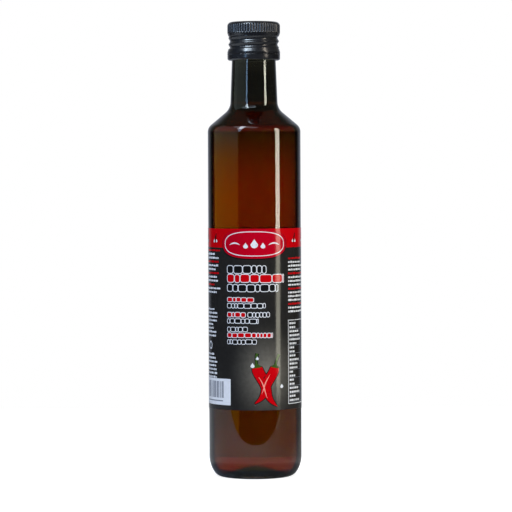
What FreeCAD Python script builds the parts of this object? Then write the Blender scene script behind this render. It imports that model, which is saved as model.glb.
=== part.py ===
"""Half-litre glass bottle of chili oil with a roll-on screw cap and a wrap-round label.

Frame: +Z up, origin at the middle of the ring that the bottle stands on.
The front of the label faces -Y. All sizes are in millimetres, angles in degrees.
"""
import FreeCAD, Part
import math
import os

# ---- Glass: body, foot and punt -----------------------------------------------------------
BODY_DIAMETER = 58.0
BODY_HEIGHT = 218.4           # base to the corner where the wall line meets the shoulder line
WALL = 2.2                    # side wall, shoulder and neck
BASE_THICKNESS = 3.6          # floor ring and punt
HEEL_HEIGHT = 13.0            # height at which the wall starts to turn in to the foot
HEEL_RADIUS = 18.0            # upper, wide curve of the heel
FOOT_RADIUS = 6.0             # lower, tight curve of the heel
INNER_FOOT_RADIUS = 4.0       # the same tight curve inside the bottle
BEARING_WIDTH = 2.4           # flat ring that the bottle stands on
PUNT_HEIGHT = 5.6             # push-up under the base
PUNT_SLOPE = 25.0             # side of the push-up, from the level
PUNT_EDGE_RADIUS = 3.0        # from the bearing ring into the push-up

# ---- Glass: shoulder, neck and mouth --------------------------------------------------------
SHOULDER_SLOPE = 50.0         # cone of the shoulder, from the upright
SHOULDER_RADIUS = 6.0
NECK_BASE_DIAMETER = 29.7     # at the corner where the shoulder line meets the neck line
NECK_BASE_RADIUS = 9.0
NECK_LENGTH = 30.0            # from that corner to the lower edge of the cap
FINISH_DIAMETER = 27.4        # plain mouth ring inside the cap
FINISH_RADIUS = 20.0          # soft bend from the tapered neck to the mouth ring
LIP_RADIUS = 0.8

# ---- Cap ------------------------------------------------------------------------------------
CAP_HEIGHT = 24.0
CAP_TOP_THICKNESS = 1.5
CAP_CLEARANCE = 0.3           # between the bore and the mouth ring
CAP_WALL = 0.9                # between the bore and the bottom of the thread groove
CAP_TOP_RADIUS = 2.6
CAP_STEP = 0.65               # knurled band and lower band stand out from the thread's crests
CAP_CORNER_RADIUS = 0.8
THREAD_DEPTH = 0.9
THREAD_WIDTH = 3.2            # width of the groove at the crests
THREAD_PITCH = 4.05
THREAD_TURNS = 1.95
THREAD_RISE = 7.8             # lower edge of the cap to the middle of the groove's start
THREAD_START = 170.0          # where the groove starts, from +X towards +Y
LOWER_BAND_HEIGHT = 5.2       # upright part of the lower band, with its tear line
BAND_SHOULDER = 2.1           # height of the slope above it, up to the thread
KNURL_HEIGHT = 7.0            # knurled band, from its lower edge to the top of the cap
KNURL_SHOULDER = 1.9          # height of the slope below the knurled band
KNURL_COUNT = 60
KNURL_DEPTH = 0.4
KNURL_CUTTER_RADIUS = 0.6
BAND_EDGE_RADIUS = 1.3        # lower edge of the tamper band, rolled under
SLIT_RISE = 3.6               # lower edge of the cap to the tear line
SLIT_HEIGHT = 0.5
SLIT_COUNT = 12
BRIDGE_ANGLE = 4.0            # uncut bridge between two slits

# ---- Contents and label ---------------------------------------------------------------------
FILL_DROP = 29.3              # from the mouth down to the level of the oil
LABEL_BOTTOM = 43.4
LABEL_HEIGHT = 112.3
LABEL_THICKNESS = 0.12
LABEL_SEAM = 1.5              # gap between the label's two ends, at the back

# ---- Worked out from the sizes above --------------------------------------------------------
BODY_R = BODY_DIAMETER / 2
NECK_R = NECK_BASE_DIAMETER / 2
FINISH_R = FINISH_DIAMETER / 2
NECK_Z = BODY_HEIGHT + (BODY_R - NECK_R) / math.tan(math.radians(SHOULDER_SLOPE))
CAP_Z = NECK_Z + NECK_LENGTH
CAP_TOP_Z = CAP_Z + CAP_HEIGHT
MOUTH_Z = CAP_TOP_Z - CAP_TOP_THICKNESS
OIL_Z = MOUTH_Z - FILL_DROP

BORE_R = FINISH_R + CAP_CLEARANCE
GROOVE_R = BORE_R + CAP_WALL
CREST_R = GROOVE_R + THREAD_DEPTH
BAND_R = CREST_R + CAP_STEP


def in_plane(point):
    """A (distance from the axis, height) pair as a point of the XZ plane."""
    return FreeCAD.Vector(point[0], 0, point[1])


def rounded_wire(corners):
    """Closed wire through (distance, height, rounding) corners, each turned into a tangent arc."""
    edges = []
    count = len(corners)
    ends = []
    for index, (radius, height, rounding) in enumerate(corners):
        corner = in_plane((radius, height))
        before = in_plane(corners[index - 1]) - corner
        after = in_plane(corners[(index + 1) % count]) - corner
        if rounding <= 0:
            ends.append((corner, corner, None))
            continue
        half = before.getAngle(after) / 2
        setback = rounding / math.tan(half)
        before.normalize()
        after.normalize()
        middle = before + after
        middle.normalize()
        middle = corner + middle * (rounding / math.sin(half) - rounding)
        ends.append((corner + before * setback, corner + after * setback, middle))
    for index, (start, end, middle) in enumerate(ends):
        if middle is not None:
            edges.append(Part.Arc(start, middle, end).toShape())
        following = ends[(index + 1) % count][0]
        if end.distanceToPoint(following) > 1e-6:
            edges.append(Part.LineSegment(end, following).toShape())
    return Part.Wire(edges)


def turned(corners, angle=360.0):
    """Solid of revolution about Z of the outline through the corners."""
    face = Part.Face(rounded_wire(corners))
    return face.revolve(FreeCAD.Vector(0, 0, 0), FreeCAD.Vector(0, 0, 1), angle)


def heel(wall_radius, floor, wide_radius, tight_radius):
    """Two corners whose arcs run into each other, from the floor up to the wall at HEEL_HEIGHT."""
    turn = math.asin((HEEL_HEIGHT - floor - tight_radius) / (wide_radius - tight_radius))
    joint_radius = wall_radius - wide_radius + wide_radius * math.cos(turn)
    joint_height = HEEL_HEIGHT - wide_radius * math.sin(turn)
    lower = joint_radius - (joint_height - floor) * math.tan(turn)
    rise = joint_height + (wall_radius - joint_radius) / math.tan(turn)
    return [(lower, floor, tight_radius), (wall_radius, rise, wide_radius)]


def punt(foot, lift):
    """Crown and foot corners of the push-up, raised by a glass thickness.

    foot is the distance from the axis of the foot corner on the underside.
    """
    slope = math.radians(PUNT_SLOPE)
    shift = lift * math.tan(slope / 2)
    crown = foot - PUNT_HEIGHT / math.tan(slope) + shift
    crown_rounding = crown / math.tan(slope / 2)
    edge_rounding = PUNT_EDGE_RADIUS
    return [
        (0, PUNT_HEIGHT + lift, 0),
        (crown, PUNT_HEIGHT + lift, crown_rounding),
        (foot + shift, lift, edge_rounding),
    ]


def shoulder_and_neck(inset):
    """Corners of the shoulder and neck up to the cap, set in by a wall thickness."""
    shoulder_turn = math.radians(SHOULDER_SLOPE)
    taper = math.atan2(NECK_R - FINISH_R, NECK_LENGTH)
    neck_bend = (shoulder_turn - taper) / 2
    # The inner corner lies where the two inner lines cross, on the bisector of the outer corner.
    reach = inset / math.cos(neck_bend)
    neck_corner_r = NECK_R - reach * math.cos(neck_bend + taper)
    neck_corner_z = NECK_Z - reach * math.sin(neck_bend + taper)
    return [
        (BODY_R - inset, BODY_HEIGHT - inset * math.tan(shoulder_turn / 2), SHOULDER_RADIUS - inset),
        (neck_corner_r, neck_corner_z, NECK_BASE_RADIUS + inset),
        (FINISH_R - inset, CAP_Z - inset * math.tan(taper / 2), FINISH_RADIUS + inset),
    ]


def make_cavity():
    """Inside of the bottle up to its mouth, as a solid."""
    foot = bearing_inner_radius()
    inner_heel = heel(BODY_R - WALL, BASE_THICKNESS, HEEL_RADIUS - WALL, INNER_FOOT_RADIUS)
    corners = punt(foot, BASE_THICKNESS) + inner_heel + shoulder_and_neck(WALL)
    corners += [(FINISH_R - WALL, MOUTH_Z, 0), (0, MOUTH_Z, 0)]
    return turned(corners)


def bearing_inner_radius():
    """Distance from the axis of the corner between the bearing ring and the push-up."""
    turn = math.asin((HEEL_HEIGHT - FOOT_RADIUS) / (HEEL_RADIUS - FOOT_RADIUS))
    ring_outer = BODY_R - HEEL_RADIUS + (HEEL_RADIUS - FOOT_RADIUS) * math.cos(turn)
    edge = PUNT_EDGE_RADIUS * math.tan(math.radians(PUNT_SLOPE / 2))
    return ring_outer - BEARING_WIDTH - edge


def make_bottle(cavity):
    """Glass: foot with punt, straight body, conical shoulder, tapered neck and plain mouth."""
    outer_heel = heel(BODY_R, 0, HEEL_RADIUS, FOOT_RADIUS)
    corners = punt(bearing_inner_radius(), 0) + outer_heel + shoulder_and_neck(0)
    corners += [(FINISH_R, MOUTH_Z, LIP_RADIUS), (0, MOUTH_Z, 0)]
    return turned(corners).cut(cavity)


def make_oil(cavity):
    """Oil that fills the bottle up to its level in the neck."""
    below_level = Part.makeCylinder(BODY_R, OIL_Z)
    return cavity.common(below_level)


def cap_blank():
    """Cap turned to its outer form, with the bore that goes over the mouth ring."""
    band_top = CAP_Z + LOWER_BAND_HEIGHT
    knurl_foot = CAP_TOP_Z - KNURL_HEIGHT
    corners = [
        (0, CAP_TOP_Z, 0),
        (0, MOUTH_Z, 0),
        (BORE_R, MOUTH_Z, 0),
        (BORE_R, CAP_Z, 0),
        (BAND_R, CAP_Z, BAND_EDGE_RADIUS),
        (BAND_R, band_top, CAP_CORNER_RADIUS),
        (CREST_R, band_top + BAND_SHOULDER, CAP_CORNER_RADIUS),
        (CREST_R, knurl_foot - KNURL_SHOULDER, CAP_CORNER_RADIUS),
        (BAND_R, knurl_foot, CAP_CORNER_RADIUS),
        (BAND_R, CAP_TOP_Z, CAP_TOP_RADIUS),
    ]
    return turned(corners)


def thread_groove():
    """Right-hand helical groove of the rolled thread."""
    half = THREAD_WIDTH / 2
    section_radius = (half ** 2 + THREAD_DEPTH ** 2) / (2 * THREAD_DEPTH)
    centre_radius = GROOVE_R + section_radius
    helix = Part.makeHelix(THREAD_PITCH, THREAD_PITCH * THREAD_TURNS, centre_radius)
    centre = FreeCAD.Vector(centre_radius, 0, 0)
    section = Part.Wire([Part.Circle(centre, FreeCAD.Vector(0, 1, 0), section_radius).toShape()])
    groove = Part.Wire(helix.Edges).makePipeShell([section], True, True)
    groove.rotate(FreeCAD.Vector(0, 0, 0), FreeCAD.Vector(0, 0, 1), THREAD_START)
    groove.translate(FreeCAD.Vector(0, 0, CAP_Z + THREAD_RISE))
    return groove


def knurl_grooves():
    """Upright grip grooves, which run out at the rounded top and at the slope below."""
    foot = CAP_TOP_Z - KNURL_HEIGHT - KNURL_SHOULDER
    distance = BAND_R - KNURL_DEPTH + KNURL_CUTTER_RADIUS
    grooves = []
    for index in range(KNURL_COUNT):
        angle = 2 * math.pi * index / KNURL_COUNT
        place = FreeCAD.Vector(distance * math.cos(angle), distance * math.sin(angle), foot)
        grooves.append(Part.makeCylinder(KNURL_CUTTER_RADIUS, CAP_TOP_Z - foot, place))
    return grooves


def tear_slits():
    """Slits of the tear line, with a bridge between each two."""
    bottom = CAP_Z + SLIT_RISE
    margin = 1.0
    corners = [
        (BORE_R - margin, bottom, 0),
        (BAND_R + margin, bottom, 0),
        (BAND_R + margin, bottom + SLIT_HEIGHT, 0),
        (BORE_R - margin, bottom + SLIT_HEIGHT, 0),
    ]
    step = 360.0 / SLIT_COUNT
    slits = []
    for index in range(SLIT_COUNT):
        slit = turned(corners, step - BRIDGE_ANGLE)
        slit.rotate(FreeCAD.Vector(0, 0, 0), FreeCAD.Vector(0, 0, 1), index * step)
        slits.append(slit)
    return slits


def make_cap():
    """Roll-on cap: knurled grip, rolled thread, bulge, tear line and tamper band."""
    cap = cap_blank().cut(knurl_grooves())
    cap = cap.cut(thread_groove())
    return cap.cut(tear_slits())


def make_label():
    """Thin label round the straight part of the body, with its seam at the back."""
    outer = BODY_R + LABEL_THICKNESS
    top = LABEL_BOTTOM + LABEL_HEIGHT
    corners = [(BODY_R, LABEL_BOTTOM, 0), (outer, LABEL_BOTTOM, 0), (outer, top, 0), (BODY_R, top, 0)]
    seam = math.degrees(LABEL_SEAM / BODY_R)
    label = turned(corners, 360.0 - seam)
    label.rotate(FreeCAD.Vector(0, 0, 0), FreeCAD.Vector(0, 0, 1), 90.0 + seam / 2)
    return label


def single_solid(shape, name):
    """The shape's one solid; anything else means that a size broke the piece."""
    if len(shape.Solids) != 1 or not shape.isValid():
        raise ValueError(f"{name}: {len(shape.Solids)} solids, valid {shape.isValid()}")
    return shape.Solids[0]


def main():
    cavity = make_cavity()
    pieces = {
        "bottle_glass": make_bottle(cavity),
        "oil": make_oil(cavity),
        "screw_cap": make_cap(),
        "label": make_label(),
    }
    os.makedirs("parts", exist_ok=True)
    for name, shape in pieces.items():
        solid = single_solid(shape, name)
        solid.exportStep(f"parts/{name}.step")
        box = solid.optimalBoundingBox()
        print(f"{name}: {solid.Volume / 1000:.2f} cm3, {box.XLength:.2f} wide, "
              f"from {box.ZMin:.2f} to {box.ZMax:.2f} high")


main()
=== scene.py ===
"""Slim glass bottle of chili oil with a black roll-on cap and a printed wrap-round label.

Metres, +Z up, the front of the label faces -Y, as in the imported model.
"""
import math
import random

import bmesh
import bpy
from mathutils import Matrix, Vector


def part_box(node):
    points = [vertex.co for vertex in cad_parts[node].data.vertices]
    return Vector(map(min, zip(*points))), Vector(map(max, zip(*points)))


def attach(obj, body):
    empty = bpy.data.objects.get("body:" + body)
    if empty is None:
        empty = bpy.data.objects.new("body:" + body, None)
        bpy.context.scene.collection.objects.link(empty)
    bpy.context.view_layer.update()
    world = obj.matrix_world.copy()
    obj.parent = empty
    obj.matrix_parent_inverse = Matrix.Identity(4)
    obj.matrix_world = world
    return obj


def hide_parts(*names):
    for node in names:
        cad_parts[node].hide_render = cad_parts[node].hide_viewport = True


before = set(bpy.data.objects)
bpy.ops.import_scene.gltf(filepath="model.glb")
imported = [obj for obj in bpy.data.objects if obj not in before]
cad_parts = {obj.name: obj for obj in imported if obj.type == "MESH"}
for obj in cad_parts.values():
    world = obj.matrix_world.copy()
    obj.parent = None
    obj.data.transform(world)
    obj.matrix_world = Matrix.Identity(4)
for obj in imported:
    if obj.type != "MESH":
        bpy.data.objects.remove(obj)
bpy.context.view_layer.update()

bl_info = {
    "name": "Chili oil bottle",
    "version": (1, 0, 0),
    "blender": (4, 5, 0),
    "location": "3D View > Sidebar > Bottle",
    "description": "Makes a glass bottle of chili oil with its cap, label and print",
    "category": "Object",
}

MM = 0.001
GLASS_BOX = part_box("bottle_glass")
OIL_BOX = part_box("oil")
CAP_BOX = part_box("screw_cap")
LABEL_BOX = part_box("label")
BODY_R = GLASS_BOX[1][0]
LABEL_R = LABEL_BOX[1][0]
LABEL_LOW = LABEL_BOX[0][2]
LABEL_HIGH = LABEL_BOX[1][2]
OIL_LEVEL = OIL_BOX[1][2]
CAP_LOW = CAP_BOX[0][2]
CAP_HIGH = CAP_BOX[1][2]
CAP_R = CAP_BOX[1][0]
MOUTH = GLASS_BOX[1][2]


# ---- Sizes and colours a user may change ----------------------------------------------------
def length(name, description, default):
    """A length in metres, given in millimetres."""
    return bpy.props.FloatProperty(
        name=name, description=description, default=default * MM, unit="LENGTH", precision=5
    )


def colour(name, description, red, green, blue):
    """A colour given as it is seen on a screen, from 0 to 255, and kept as linear light."""
    return bpy.props.FloatVectorProperty(
        name=name, description=description, default=screen(red, green, blue), subtype="COLOR", size=3
    )


def screen(red, green, blue):
    """Linear light of a screen colour."""
    return tuple((v / 255 / 12.92) if v < 11 else ((v / 255 + 0.055) / 1.055) ** 2.4
                 for v in (red, green, blue))


def angle(name, description, degrees):
    """An angle, given in degrees."""
    return bpy.props.FloatProperty(
        name=name, description=description, default=math.radians(degrees), subtype="ANGLE")


def count(name, description, default, least=0):
    """A whole number."""
    return bpy.props.IntProperty(name=name, description=description, default=default, min=least)


class BottleGlassSettings(bpy.types.PropertyGroup):
    wall: length("Wall", "Thickness of the side wall, shoulder and neck", 2.2)
    base: length("Base", "Thickness of the floor and the push-up", 3.6)
    heel_height: length("Heel height", "Height at which the wall turns in to the foot", 13.0)
    heel_radius: length("Heel radius", "Wide upper curve of the heel", 18.0)
    foot_radius: length("Foot radius", "Tight lower curve of the heel", 6.0)
    inner_foot_radius: length("Inner foot radius", "Tight curve of the heel inside", 4.0)
    bearing: length("Bearing ring", "Width of the flat ring that the bottle stands on", 2.4)
    punt_height: length("Punt height", "Height of the push-up", 5.6)
    punt_edge: length("Punt edge", "Rounding between the ring and the push-up", 3.0)
    punt_slope: angle("Punt slope", "Side of the push-up, from the level", 25)
    body_height: length("Body height", "Base to the corner of the shoulder", 218.4)
    shoulder_slope: angle("Shoulder slope", "Cone of the shoulder, from the upright", 50)
    shoulder_radius: length("Shoulder radius", "Rounding from the wall to the cone", 6.0)
    neck_radius: length("Neck radius", "Half width at the foot of the neck", 14.85)
    neck_bend: length("Neck bend", "Rounding from the cone to the neck", 9.0)
    neck_length: length("Neck length", "Foot of the neck to the cap", 30.0)
    finish_radius: length("Mouth radius", "Half width of the ring inside the cap", 13.7)
    finish_bend: length("Mouth bend", "Soft bend below the mouth ring", 20.0)
    lip: length("Lip", "Rounding of the lip", 0.8)
    turns: count("Facets", "Faces round the bottle", 240, 24)
    tint: colour("Tint", "Colour that the glass gives to light through it", 226, 226, 204)


class BottleOilSettings(bpy.types.PropertyGroup):
    reach: length("Reach", "How far the oil runs into the wall, so that no gap shows", 0.05)
    meniscus: length("Meniscus", "Rise of the oil where it wets the glass", 0.9)
    cloud: colour("Cloud", "Colour of the fine matter that floats in the oil", 203, 186, 30)
    # Painted shade: a darker, greyer cloud for the shoulder and neck.
    high_cloud_painted_shade: colour("High cloud", "Colour of that matter in the shoulder and neck", 78, 82, 66)
    clear_share: bpy.props.FloatProperty(
        name="Clear share", description="Share of light that the oil lets in", default=0.90,
        subtype="FACTOR", min=0, max=1)
    depth_colour: colour("Depth colour", "Colour that a deep layer of oil moves towards", 242, 183, 0)
    density: bpy.props.FloatProperty(
        name="Density", description="How soon that colour sets in, for each metre",
        default=170.0, min=0)
    flakes: count("Flakes", "Chili flakes that lie at the bottom", 46)
    flake_size: length("Flake size", "Width of a flake", 0.7)


class BottleCapSettings(bpy.types.PropertyGroup):
    bore: length("Bore", "Half width of the hole over the mouth ring", 14.0)
    top: length("Top", "Thickness of the top", 1.5)
    crest: length("Crest", "Half width over the thread", 15.8)
    thread_depth: length("Thread depth", "Depth of the rolled thread", 0.9)
    thread_pitch: length("Thread pitch", "Height of one turn of the thread", 4.05)
    thread_phase: length("Thread phase", "Height of a groove above the lower edge, on the +X side", 9.94)
    lower_band: length("Lower band", "Height of the upright lower band with its tear line", 5.2)
    band_slope: length("Band slope", "Height of the slope above that band", 2.1)
    grip: length("Grip", "Height of the knurled grip", 7.0)
    grip_slope: length("Grip slope", "Height of the slope below the grip", 1.9)
    grip_depth: length("Grip depth", "Depth of the grip's grooves", 0.4)
    grip_count: count("Grip grooves", "Grooves round the grip", 60, 8)
    tear_height: length("Tear line", "Lower edge to the middle of the tear line", 3.85)
    tear_width: length("Tear width", "Height of the slits of the tear line", 0.5)
    tear_depth: length("Tear depth", "Depth to which the slits show", 0.55)
    bridges: count("Bridges", "Uncut bridges in the tear line", 12, 2)
    lacquer: colour("Lacquer", "Colour of the lacquer", 22, 23, 27)


class BottleLabelSettings(bpy.types.PropertyGroup):
    seam: length("Seam", "Gap between the label's ends, at the back", 1.5)
    band: length("Band", "Height of the red band at the top", 11.8)
    ink: length("Ink", "Step from one layer of print to the next", 0.02)
    field: colour("Field", "Main colour of the label", 38, 37, 37)
    glow: colour("Glow", "Middle of the soft light field behind the chilies", 122, 118, 112)
    red: colour("Red", "Red of the band and the bars", 192, 3, 14)
    crimson: colour("Crimson", "Colour of the plain plaque", 182, 2, 30)
    white: colour("White", "White of the fine print", 224, 226, 236)
    black: colour("Black", "Black inside the outlined shapes", 22, 22, 24)
    seed: count("Seed", "Order of the short and long dashes", 7)


class BottleStageSettings(bpy.types.PropertyGroup):
    distance: length("Camera distance", "Bottle to camera", 1693.0)
    eye: length("Camera height", "Height of the camera", 190.4)
    aim: length("Aim height", "Height at the middle of the picture", 137.95)
    aside: length("Aside", "Bottle's distance left of the middle of the picture", 0.85)
    roll: angle("Roll", "Lean of the camera", -0.25)
    lens: bpy.props.FloatProperty(
        name="Lens", description="Focal length in millimetres", default=190.0)
    table_edge: length("Table edge", "How far the table runs in front of the bottle", 245.0)
    table_back: length("Table back", "How far the table runs behind the bottle", 480.0)
    card: length("Card distance", "Bottle to the pale card that lights the oil from behind", 620.0)


def settings(name):
    """One of the scene's groups of sizes."""
    return getattr(bpy.context.scene, name)


# ---- Outlines and meshes --------------------------------------------------------------------
def rounded_outline(corners, step=math.radians(5)):
    """Points along (distance, height, rounding) corners, each rounded by a tangent arc."""
    points = []
    for index, (radius, height, rounding) in enumerate(corners):
        corner = Vector((radius, height))
        if rounding <= 0:
            points.append(corner)
            continue
        before = (Vector(corners[index - 1][:2]) - corner).normalized()
        after = (Vector(corners[(index + 1) % len(corners)][:2]) - corner).normalized()
        half = before.angle(after) / 2
        centre = corner + (before + after).normalized() * rounding / math.sin(half)
        start = corner + before * rounding / math.tan(half) - centre
        sweep = start.angle_signed(corner + after * rounding / math.tan(half) - centre)
        count = max(2, math.ceil(abs(sweep) / step))
        for part in range(count + 1):
            points.append(centre + Matrix.Rotation(-sweep * part / count, 2) @ start)
    clean = [points[0]]
    for point in points[1:]:
        if (point - clean[-1]).length > 2e-6:
            clean.append(point)
    return clean


def refined(points, longest):
    """The same outline with no step longer than asked.

    Long straights also get a point close to each end, so that smooth shading keeps them straight.
    """
    result = [points[0]]
    for start, end in zip(points, points[1:]):
        span = (end - start).length
        parts = max(1, math.ceil(span / longest))
        shares = {part / parts for part in range(1, parts + 1)}
        if span > 1 * MM:
            shares.update((0.08 * MM / span, 1 - 0.08 * MM / span))
        result += [start.lerp(end, share) for share in sorted(shares)]
    return result


def lathe(name, points, turns):
    """Closed mesh turned about Z from an outline whose two ends lie on the axis."""
    mesh = bmesh.new()
    rings = []
    for point in points:
        if point.x < 1e-7:
            rings.append([mesh.verts.new((0, 0, point.y))])
            continue
        rings.append([
            mesh.verts.new((point.x * math.cos(turn), point.x * math.sin(turn), point.y))
            for turn in (2 * math.pi * index / turns for index in range(turns))
        ])
    for lower, upper in zip(rings, rings[1:]):
        for index in range(turns):
            following = (index + 1) % turns
            if len(lower) == 1:
                mesh.faces.new((lower[0], upper[following], upper[index]))
            elif len(upper) == 1:
                mesh.faces.new((lower[index], lower[following], upper[0]))
            else:
                mesh.faces.new((lower[index], lower[following], upper[following], upper[index]))
    bmesh.ops.recalc_face_normals(mesh, faces=mesh.faces)
    return as_object(name, mesh)


def as_object(name, mesh):
    """A smooth-shaded object at the origin from a bmesh."""
    data = bpy.data.meshes.new(name)
    mesh.to_mesh(data)
    mesh.free()
    data.shade_smooth()
    piece = bpy.data.objects.new(name, data)
    bpy.context.scene.collection.objects.link(piece)
    return piece


def heel(wall_radius, floor, wide, tight, height):
    """Two corners whose arcs run into each other, from the floor up to the wall."""
    turn = math.asin((height - floor - tight) / (wide - tight))
    joint = Vector((wall_radius - wide + wide * math.cos(turn), height - wide * math.sin(turn)))
    lower = joint.x - (joint.y - floor) * math.tan(turn)
    rise = joint.y + (wall_radius - joint.x) / math.tan(turn)
    # A hair less rounding keeps the two arcs from overlapping.
    return [(lower, floor, tight * 0.999), (wall_radius, rise, wide * 0.999)]


def punt(size, foot, lift):
    """Crown and foot corners of the push-up, raised by a glass thickness."""
    shift = lift * math.tan(size.punt_slope / 2)
    crown = foot - size.punt_height / math.tan(size.punt_slope) + shift
    top = size.punt_height + lift
    rounding = crown / math.tan(size.punt_slope / 2)
    return [(0, top, 0), (crown, top, rounding * 0.999), (foot + shift, lift, size.punt_edge)]


def bearing_corner(size):
    """Distance from the axis of the corner between the bearing ring and the push-up."""
    wide, tight = size.heel_radius, size.foot_radius
    turn = math.asin((size.heel_height - tight) / (wide - tight))
    ring = BODY_R - wide + (wide - tight) * math.cos(turn)
    return ring - size.bearing - size.punt_edge * math.tan(size.punt_slope / 2)


def shoulder_and_neck(size, inset):
    """Corners from the shoulder up to the mouth ring, set in by a thickness."""
    neck_height = size.body_height + (BODY_R - size.neck_radius) / math.tan(size.shoulder_slope)
    taper = math.atan2(size.neck_radius - size.finish_radius, size.neck_length)
    bend = (size.shoulder_slope - taper) / 2
    reach = inset / math.cos(bend)
    corner_r = size.neck_radius - reach * math.cos(bend + taper)
    corner_z = neck_height - reach * math.sin(bend + taper)
    shoulder_z = size.body_height - inset * math.tan(size.shoulder_slope / 2)
    finish_z = neck_height + size.neck_length - inset * math.tan(taper / 2)
    return [
        (BODY_R - inset, shoulder_z, size.shoulder_radius - inset),
        (corner_r, corner_z, size.neck_bend + inset),
        (size.finish_radius - inset, finish_z, size.finish_bend + inset),
    ]


def inner_corners(size, reach=0.0):
    """Corners of the inside of the bottle, from the push-up to the mouth ring.

    reach moves them out into the glass.
    """
    wall = size.wall - reach
    base = size.base - reach
    floor = heel(BODY_R - wall, base, size.heel_radius - wall, size.inner_foot_radius, size.heel_height)
    return punt(size, bearing_corner(size), base) + floor + shoulder_and_neck(size, wall)


def cut_at(points, height):
    """The same outline with a point wherever it crosses a height."""
    result = [points[0]]
    for start, end in zip(points, points[1:]):
        if (start.y - height) * (end.y - height) < 0:
            result.append(start.lerp(end, (height - start.y) / (end.y - start.y)))
        result.append(end)
    return result


# ---- Node helpers ---------------------------------------------------------------------------
class Nodes:
    """Short calls for building one node tree."""

    def __init__(self, tree):
        self.tree = tree

    def add(self, kind, operation=None, **values):
        """A new node; values are plain numbers or output sockets for the inputs they name."""
        node = self.tree.nodes.new(kind)
        if operation:
            node.operation = operation
        self.give(node, **values)
        return node

    def key(self, text):
        """An input's place or name, from a keyword such as i0 or Base_Color."""
        if text[0] == "i" and text[1:].isdigit():
            return int(text[1:])
        return text.replace("_", " ")

    def feed(self, socket, value):
        if isinstance(value, bpy.types.NodeSocket):
            self.tree.links.new(value, socket)
        elif isinstance(value, (tuple, list)) and len(value) == 3 and socket.type == "RGBA":
            socket.default_value = (*value, 1)
        else:
            socket.default_value = value

    def math(self, operation, first, second=0.0, third=0.0):
        return self.add("ShaderNodeMath", operation, i0=first, i1=second, i2=third).outputs[0]

    def ramp(self, value, low, high, start=0.0, end=1.0, kind="SMOOTHSTEP"):
        """Maps a value from one range to another, held at both ends."""
        node = self.add("ShaderNodeMapRange", i0=value, i1=low, i2=high, i3=start, i4=end)
        node.interpolation_type = kind
        return node.outputs[0]

    def mix(self, factor, first, second):
        node = self.tree.nodes.new("ShaderNodeMix")
        node.data_type = "RGBA"
        self.feed(node.inputs[0], factor)
        self.feed(node.inputs[6], first)
        self.feed(node.inputs[7], second)
        return node.outputs[2]

    def noise(self, where, scale, detail):
        return self.add("ShaderNodeTexNoise", Vector=where, Scale=scale, Detail=detail).outputs["Fac"]

    def times(self, first, *others):
        """All the values multiplied in turn."""
        for other in others:
            first = self.math("MULTIPLY", first, other)
        return first

    def plus(self, first, second):
        return self.math("ADD", first, second)

    def minus(self, first, second):
        return self.math("SUBTRACT", first, second)

    def where(self):
        """Place in the object's own coordinates."""
        return self.add("ShaderNodeTexCoord").outputs["Object"]

    def split(self, vector):
        """X, Y and Z of a vector."""
        return self.add("ShaderNodeSeparateXYZ", i0=vector).outputs

    def size(self, vector):
        """Length of a vector."""
        return self.add("ShaderNodeVectorMath", operation="LENGTH", i0=vector).outputs["Value"]

    def give(self, node, **values):
        """Feeds plain numbers or output sockets to the inputs they name."""
        for key, value in values.items():
            self.feed(node.inputs[self.key(key)], value)

    def relief(self, shader, strength, distance, height):
        """Raises fine relief on a shader from a height."""
        bump = self.add("ShaderNodeBump", Strength=strength, Distance=distance, Height=height)
        self.feed(shader.inputs["Normal"], bump.outputs["Normal"])


def new_group(name, kind, inputs, outputs):
    """An empty node group with named sockets, and its input and output nodes."""
    tree = bpy.data.node_groups.new(name, kind)
    for title, socket, default in inputs:
        item = tree.interface.new_socket(title, in_out="INPUT", socket_type=socket)
        if default is not None:
            item.default_value = default
    for title, socket in outputs:
        tree.interface.new_socket(title, in_out="OUTPUT", socket_type=socket)
    return Nodes(tree), tree.nodes.new("NodeGroupInput"), tree.nodes.new("NodeGroupOutput")


def geometry_group(name, inputs):
    """A geometry group with the inputs named besides its geometry and its material."""
    return new_group(
        name, "GeometryNodeTree",
        [("Geometry", "NodeSocketGeometry", None), *inputs, ("Finish", "NodeSocketMaterial", None)],
        [("Geometry", "NodeSocketGeometry")])


def close_group(nodes, entry, leave, geometry):
    """Ends a geometry group: real instances, then their material."""
    real = nodes.add("GeometryNodeRealizeInstances", Geometry=geometry)
    finish = nodes.add("GeometryNodeSetMaterial", Geometry=real.outputs[0],
                       Material=entry.outputs["Finish"])
    nodes.feed(leave.inputs["Geometry"], finish.outputs[0])
    return nodes.tree


def dust_group():
    """Fine uneven gloss and a few specks, for every smooth surface of the bottle."""
    name = "Fine dust"
    if name in bpy.data.node_groups:
        return bpy.data.node_groups[name]
    nodes, entry, leave = new_group(
        name, "ShaderNodeTree",
        [("Roughness", "NodeSocketFloat", 0.1), ("Spread", "NodeSocketFloat", 0.05),
         ("Specks", "NodeSocketFloat", 0.5)],
        [("Roughness", "NodeSocketFloat"), ("Speck", "NodeSocketFloat")])
    where = nodes.where()
    uneven = nodes.ramp(nodes.noise(where, 60.0, 3.0), 0.3, 0.7, -1.0, 1.0)
    spread = nodes.times(uneven, entry.outputs["Spread"])
    cells = nodes.add("ShaderNodeTexVoronoi", Vector=where, Scale=260.0, Randomness=1.0)
    near = nodes.ramp(cells.outputs["Distance"], 0.05, 0.11, 1.0, 0.0)
    chance = nodes.add("ShaderNodeSeparateColor", i0=cells.outputs["Color"]).outputs[0]
    rare = nodes.math("GREATER_THAN", chance, 0.93)
    speck = nodes.times(near, rare, entry.outputs["Specks"])
    rough = nodes.plus(entry.outputs["Roughness"], spread)
    rough = nodes.math("MAXIMUM", nodes.math("MULTIPLY_ADD", speck, 0.4, rough), 0.0)
    nodes.feed(leave.inputs["Roughness"], rough)
    nodes.feed(leave.inputs["Speck"], speck)
    return nodes.tree


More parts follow.
